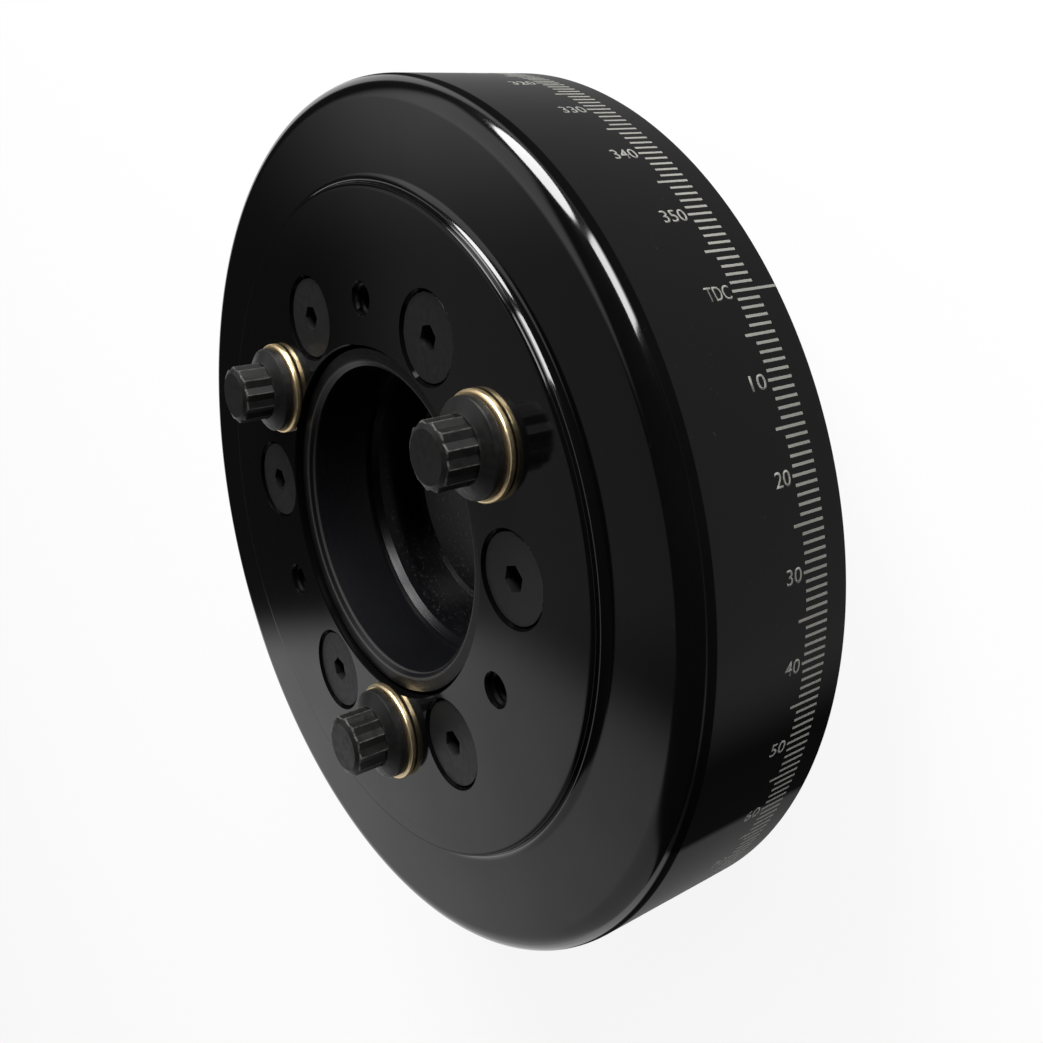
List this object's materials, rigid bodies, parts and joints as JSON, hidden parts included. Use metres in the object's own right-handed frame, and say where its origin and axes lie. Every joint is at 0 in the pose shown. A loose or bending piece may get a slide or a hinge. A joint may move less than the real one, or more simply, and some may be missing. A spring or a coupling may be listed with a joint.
{
  "type": "harmonic balancer",
  "caption": "Crankshaft torsional damper: a stepped steel hub carries a round black shell with a raised, bolt-on boss, and an inertia ring floats inside it on elastomer rings.",
  "frame": {"origin": "on the crankshaft axis, in the plane of the hub tail's end, on which the part stands", "axes": "+Z along the crankshaft axis, out of the front face; +Y towards the keyway and the zero line of the timing scale"},
  "size_m": [0.1798, 0.1798, 0.0694],
  "materials": {
    "shell_gloss_black": "gloss black coat over steel",
    "hub_steel": "turned steel, darkened, satin",
    "inertia_iron": "machined iron, oiled",
    "elastomer": "moulded black elastomer",
    "screw_black_oxide": "black oxide, satin",
    "bolt_black_oxide": "black oxide, satin, worn bright on the edges",
    "washer_yellow_zinc": "yellow zinc plate"
  },
  "bodies": {
    "root": {"front_shell": "shell_gloss_black", "inner_shell": "shell_gloss_black", "hub": "hub_steel", "inertia_ring": "inertia_iron", "face_ring_front_inner": "elastomer", "face_ring_front_outer": "elastomer", "face_ring_rear_inner": "elastomer", "face_ring_rear_outer": "elastomer", "bore_ring_front": "elastomer", "bore_ring_rear": "elastomer", "hub_screw_1": "screw_black_oxide", "hub_screw_2": "screw_black_oxide", "hub_screw_3": "screw_black_oxide", "hub_screw_4": "screw_black_oxide", "hub_screw_5": "screw_black_oxide", "hub_screw_6": "screw_black_oxide", "shell_screw_1": "screw_black_oxide", "shell_screw_2": "screw_black_oxide", "shell_screw_3": "screw_black_oxide", "shell_screw_4": "screw_black_oxide", "shell_screw_5": "screw_black_oxide", "shell_screw_6": "screw_black_oxide", "pulley_bolt_1": "bolt_black_oxide", "pulley_bolt_2": "bolt_black_oxide", "pulley_bolt_3": "bolt_black_oxide", "bolt_washer_1": "washer_yellow_zinc", "bolt_washer_2": "washer_yellow_zinc", "bolt_washer_3": "washer_yellow_zinc"}
  },
  "joints": []
}
